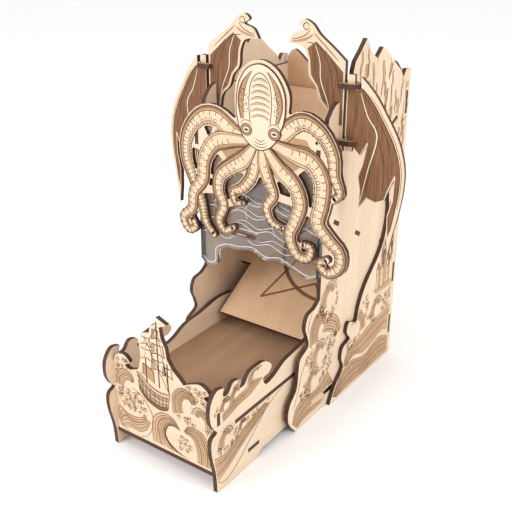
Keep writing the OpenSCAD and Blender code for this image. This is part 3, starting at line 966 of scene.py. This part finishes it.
def draw_cliff(side):
    """Weathered rock with a keep on a ledge, and surf at the foot."""
    sheet = side_sheet("cliff_panel_" + side)
    layers = Layer(sheet, WATER, 1), Layer(sheet, DEPTH, 2), Layer(sheet, FINE, 3)
    rng = random.Random(77)
    face = [(134, 214), (135, 236), (147, 247), (170, 240), (207, 219), (207, 176), (196, 130), (184, 158),
            (160, 190)]
    for k, (x, y) in enumerate(spread(face, spacing=11.5, seed=5)):
        drip(layers, x, y, rng.uniform(8, 26), rng.uniform(1.0, 3.8), rng.uniform(-0.1, 0.12), 100 + k)
    rear = [(192, 130), (206, 150), (207, 100), (196, 92), (180, 84), (188, 100)]
    for k, (x, y) in enumerate(spread(rear, spacing=6.0, seed=9)):
        drip(layers, x, y, rng.uniform(8, 18), rng.uniform(0.8, 2.0), 0.05, 200 + k)
    draw_keep(layers, base=66)
    finish_all(layers, "cliff_" + side, ("rock", "depth", "lines"))
    sea = Sea(sheet, "cliff_foot_" + side, seed=61)
    sea.breaker(157, 51, 7.6, -1)
    sea.breaker(185, 52, 6.6)
    sea.foam([(140, 36), (148, 44), (156, 54), (162, 64), (168, 70), (172, 60), (168, 46), (156, 36),
              (146, 32)])
    sea.foam([(172, 48), (182, 56), (194, 56), (206, 58), (206, 46), (192, 42), (178, 40)])
    sea.current([(125, 5), (136, 18), (150, 22), (170, 17), (190, 22), (208, 16)],
                [(130, 2), (144, 3), (160, 3), (176, 2.5), (192, 3), (208, 2.5)], 11)
    sea.current([(138, 22), (144, 34), (158, 36), (176, 40), (194, 42), (208, 44)],
                [(144, 22), (154, 25), (168, 21), (182, 23), (196, 26), (208, 22)], 8)
    sea.finish()


# -------- wings, ramp and screen

def draw_wing(sheet, name, outline, points, width, seams):
    """Brown raster skin, a bare bone with dark edges across it, and folds."""
    skin = Layer(sheet, SKIN, 0, "wing_plywood", clip=False)
    skin.patch(outline).finish(name + "_skin")
    edge = Layer(sheet, INK, 1, "wing_plywood")
    bone = Layer(sheet, BONE, 2, "wing_plywood")
    edge.line(smooth(points, 6), width + 0.7)
    bone.line(smooth(points, 6), width)
    edge.finish(name + "_bone_outline")
    bone.finish(name + "_bones")
    fold = Layer(sheet, INK, 1, "wing_plywood")
    fold.lines([smooth(s, 5) for s in seams], 0.4)
    fold.finish(name + "_folds")


def draw_outer_wing(side):
    """Skin out to the torn edge, one bent finger bone, and a bare leading edge."""
    name = "outer_wing_" + side
    sheet = wing_sheet(side)
    lead = smooth([(6.6, 224), (12.8, 217.5), (20.2, 206.6), (27.8, 193.5), (32.4, 180), (33.2, 166),
                   (31.4, 150), (29.4, 138)], 5)
    skin = [(-1.9, 192.8), (-1.9, 222.3), (4.5, 222.3), *lead, (28.2, 133.5), (27.5, 147.5), (30.1, 158),
            (30.6, 173.5), (29.8, 173.9), (25.5, 162.4), (24.2, 157.8), (19, 155.6), (13.1, 157.7),
            (8.9, 151.4), (9.1, 162), (7.6, 170), (10.1, 178), (12.3, 191.6), (11.6, 191.8), (7.4, 183.9)]
    finger = [(6.2, 221), (11, 208), (17.6, 196), (13.2, 175), (9.2, 154)]
    seams = [[(7.5, 221), (17, 208), (25, 192), (28.5, 174)], [(3, 220), (4, 208), (2.4, 196)],
             [(18.5, 195), (23, 180), (23, 164)], [(13, 189), (14.5, 176), (12.6, 163)]]
    draw_wing(sheet, name, skin, finger, 0.9, seams)
    rim = Layer(sheet, INK, 2, "wing_plywood")
    rim.line(lead, 0.5, False)
    rim.line([(x + 1.0, y + 0.6) for x, y in lead[4:-6]], 0.32)
    rim.finish(name + "_rim")


def draw_inner_wing(side):
    """Skin down the fixed part of the wing, and a hooked claw of bare wood above it."""
    name = "inner_wing_" + side
    sign = -1 if side == "left" else 1
    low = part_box("inner_wing_" + side)[0]
    sheet = Sheet(name, (0, low.y, 0), (sign, 0, 0), (0, 0, 1), (0, -1, 0))
    skin = [(30.5, 247.5), (39.5, 240.5), (49.6, 231.5), (50.2, 200), (42.8, 200), (41.4, 208),
            (35.4, 213.8), (32.4, 221.5), (27.6, 227.6), (26.6, 237), (24.6, 243)]
    finger = [(29.5, 247), (33.5, 236), (34.5, 225), (39.5, 213), (42.4, 201.5)]
    seams = [[(33, 246), (40, 234), (43.5, 218), (45, 203)], [(37, 243), (45, 232), (48, 216)],
             [(28.5, 245), (30, 237), (29.5, 229)]]
    draw_wing(sheet, name, skin, finger, 0.8, seams)
    ink, wash = Layer(sheet, INK, 2, "wing_plywood"), Layer(sheet, WASH, 1, "wing_plywood")
    wash.line(smooth([(14, 246.2), (19, 247), (24, 248.5), (28, 251)], 5), 1.6)
    ink.lines([smooth([(14, 247.5), (18, 248.4), (23, 250.5), (26, 253.6)], 5),
               arc(23.5, 255.6, 2.0, 2.0, 0, 345, 14),
               smooth([(29, 252), (36, 246.2), (46, 237.8)], 5),
               smooth([(24, 246.5), (31, 245.6), (37, 240.6)], 5)], 0.5)
    finish_all((wash, ink), name, ("wash", "claw"))


def draw_ramp_star():
    """A compass rose whose long points cross its ring, engraved off centre on the exit ramp."""
    rose = Layer(ramp_sheet(), SHADE, 0)
    cx, cy = 30, 80
    ring, long_reach, short_reach, foot_reach = 48, 72.5, 52, 37
    first_angle, steps = 234, 12
    rose.line(arc(cx, cy, ring, ring, 0, 360, 90), 2.7, False)

    def around(reach, angle):
        return cx + reach * math.cos(math.radians(angle)), cy + reach * math.sin(math.radians(angle))

    for k in range(8):
        angle = first_angle + 45 * k
        tx, ty = around(short_reach if k % 2 else long_reach, angle)
        for turn in (-1, 1):
            fx, fy = around(foot_reach, angle + 22.5 * turn)
            side = [(tx + (fx - tx) * t / steps, ty + (fy - ty) * t / steps) for t in range(steps + 1)]
            rose.line(side, 1.8, False)
    rose.finish("ramp_compass")


def draw_screen():
    """Frosted cloud banks, lightning and two pairs of level lines on the clear screen."""
    sheet = front_sheet("storm_screen")
    frost = Layer(sheet, FROST, 0, "clear_acrylic")
    hem = [(-46, 96), (-41, 92.5), (-35.5, 95), (-34.5, 104.5), (-26, 109.5), (-15, 110.5), (-4, 112.5),
           (7, 108.5), (18, 110.5), (30, 106.5), (40, 103.5), (46, 105.5)]
    frost.line(smooth(hem, 7), 0.8, False)
    for k in range(4):
        y = 115 + 9 * k
        bank = [(-45, y), (-36, y + 3), (-26, y - 1), (-14, y + 4), (-2, y), (10, y + 3), (22, y - 1),
                (34, y + 3), (45, y)]
        frost.line(smooth(bank, 6), 0.55, False)
        frost.line(smooth([(x + 3, y + 4 + 1.5 * math.sin(x)) for x, y in bank[1:-1]], 5), 0.5)
    for x, y in ((-30, 152), (-8, 158), (14, 150), (33, 160)):
        bolt = [(x, y), (x + 2, y - 6), (x - 1.5, y - 9), (x + 1.5, y - 16), (x - 2, y - 19), (x, y - 26)]
        frost.line(bolt, 0.9)
        frost.line([(x - 1.5, y - 9), (x - 5, y - 13), (x - 4, y - 17)], 0.6)
    for low, high in ((-30.5, 0.5), (28.5, 43.5)):
        frost.line([(low, 118.5), ((low + high) / 2, 118.2), (high, 118.5)], 0.7, False)
        frost.line([(low, 123.7), ((low + high) / 2, 124), (high, 123.7)], 0.7, False)
    frost.finish("screen_clouds")


# -------- studio

FLOOR_GAP = 0.0002  # metres between the feet and the floor


def add_light(name, place, target, size, power):
    """A round soft light that looks at the target."""
    data = bpy.data.lights.new(name, "AREA")
    data.shape = "DISK"
    data.size = size
    data.energy = power
    lamp = add_object(name, data)
    lamp.location = place
    lamp.rotation_euler = (Vector(target) - Vector(place)).to_track_quat("-Z", "Y").to_euler()


def add_floor():
    """A plain white floor just under the object."""
    mat, _, shader = new_material("studio_white")
    shader.inputs["Base Color"].default_value = (0.96, 0.96, 0.96, 1)
    shader.inputs["Roughness"].default_value = 0.9
    bm = bmesh.new()
    bmesh.ops.create_grid(bm, x_segments=8, y_segments=8, size=4.0)
    floor = mesh_object("studio_floor", bm, mat)
    floor.location = (0, 0, cad_box[0].z - FLOOR_GAP)


def studio():
    """White floor, one soft light from the right and one from the front left, and a bright plain world."""
    add_floor()
    world = bpy.data.worlds.new("studio_world")
    world.use_nodes = True
    background = world.node_tree.nodes["Background"]
    background.inputs["Color"].default_value = (1, 1, 1, 1)
    background.inputs["Strength"].default_value = 1.0
    bpy.context.scene.world = world
    middle = (0, 0, 0.12)
    add_light("side_light", (1.05, -0.15, 0.78), middle, size=0.5, power=4.4)
    add_light("front_light", (-0.42, -0.95, 0.72), middle, size=0.5, power=5.6)
    bpy.context.scene.view_settings.view_transform = "Standard"


def camera():
    """The photograph's viewpoint: front right of the tower, looking down on it."""
    yaw, pitch = math.radians(35.57), math.radians(24.36)
    data = bpy.data.cameras.new("camera")
    data.sensor_width = 36
    data.lens = 55.3
    cam = add_object("camera", data)
    cam.location = (0.2765, -0.3888, 0.3231)
    look = Vector((-math.sin(yaw) * math.cos(pitch), math.cos(yaw) * math.cos(pitch), -math.sin(pitch)))
    cam.rotation_euler = look.to_track_quat("-Z", "Y").to_euler()
    bpy.context.scene.camera = cam


camera()
studio()
dress_nodes()
draw_octopus()
draw_tray_front()
for hand in SIDES:
    draw_tray_side(hand)
    draw_wall(hand)
    draw_cliff(hand)
    draw_outer_wing(hand)
    draw_inner_wing(hand)
draw_ramp_star()
draw_screen()
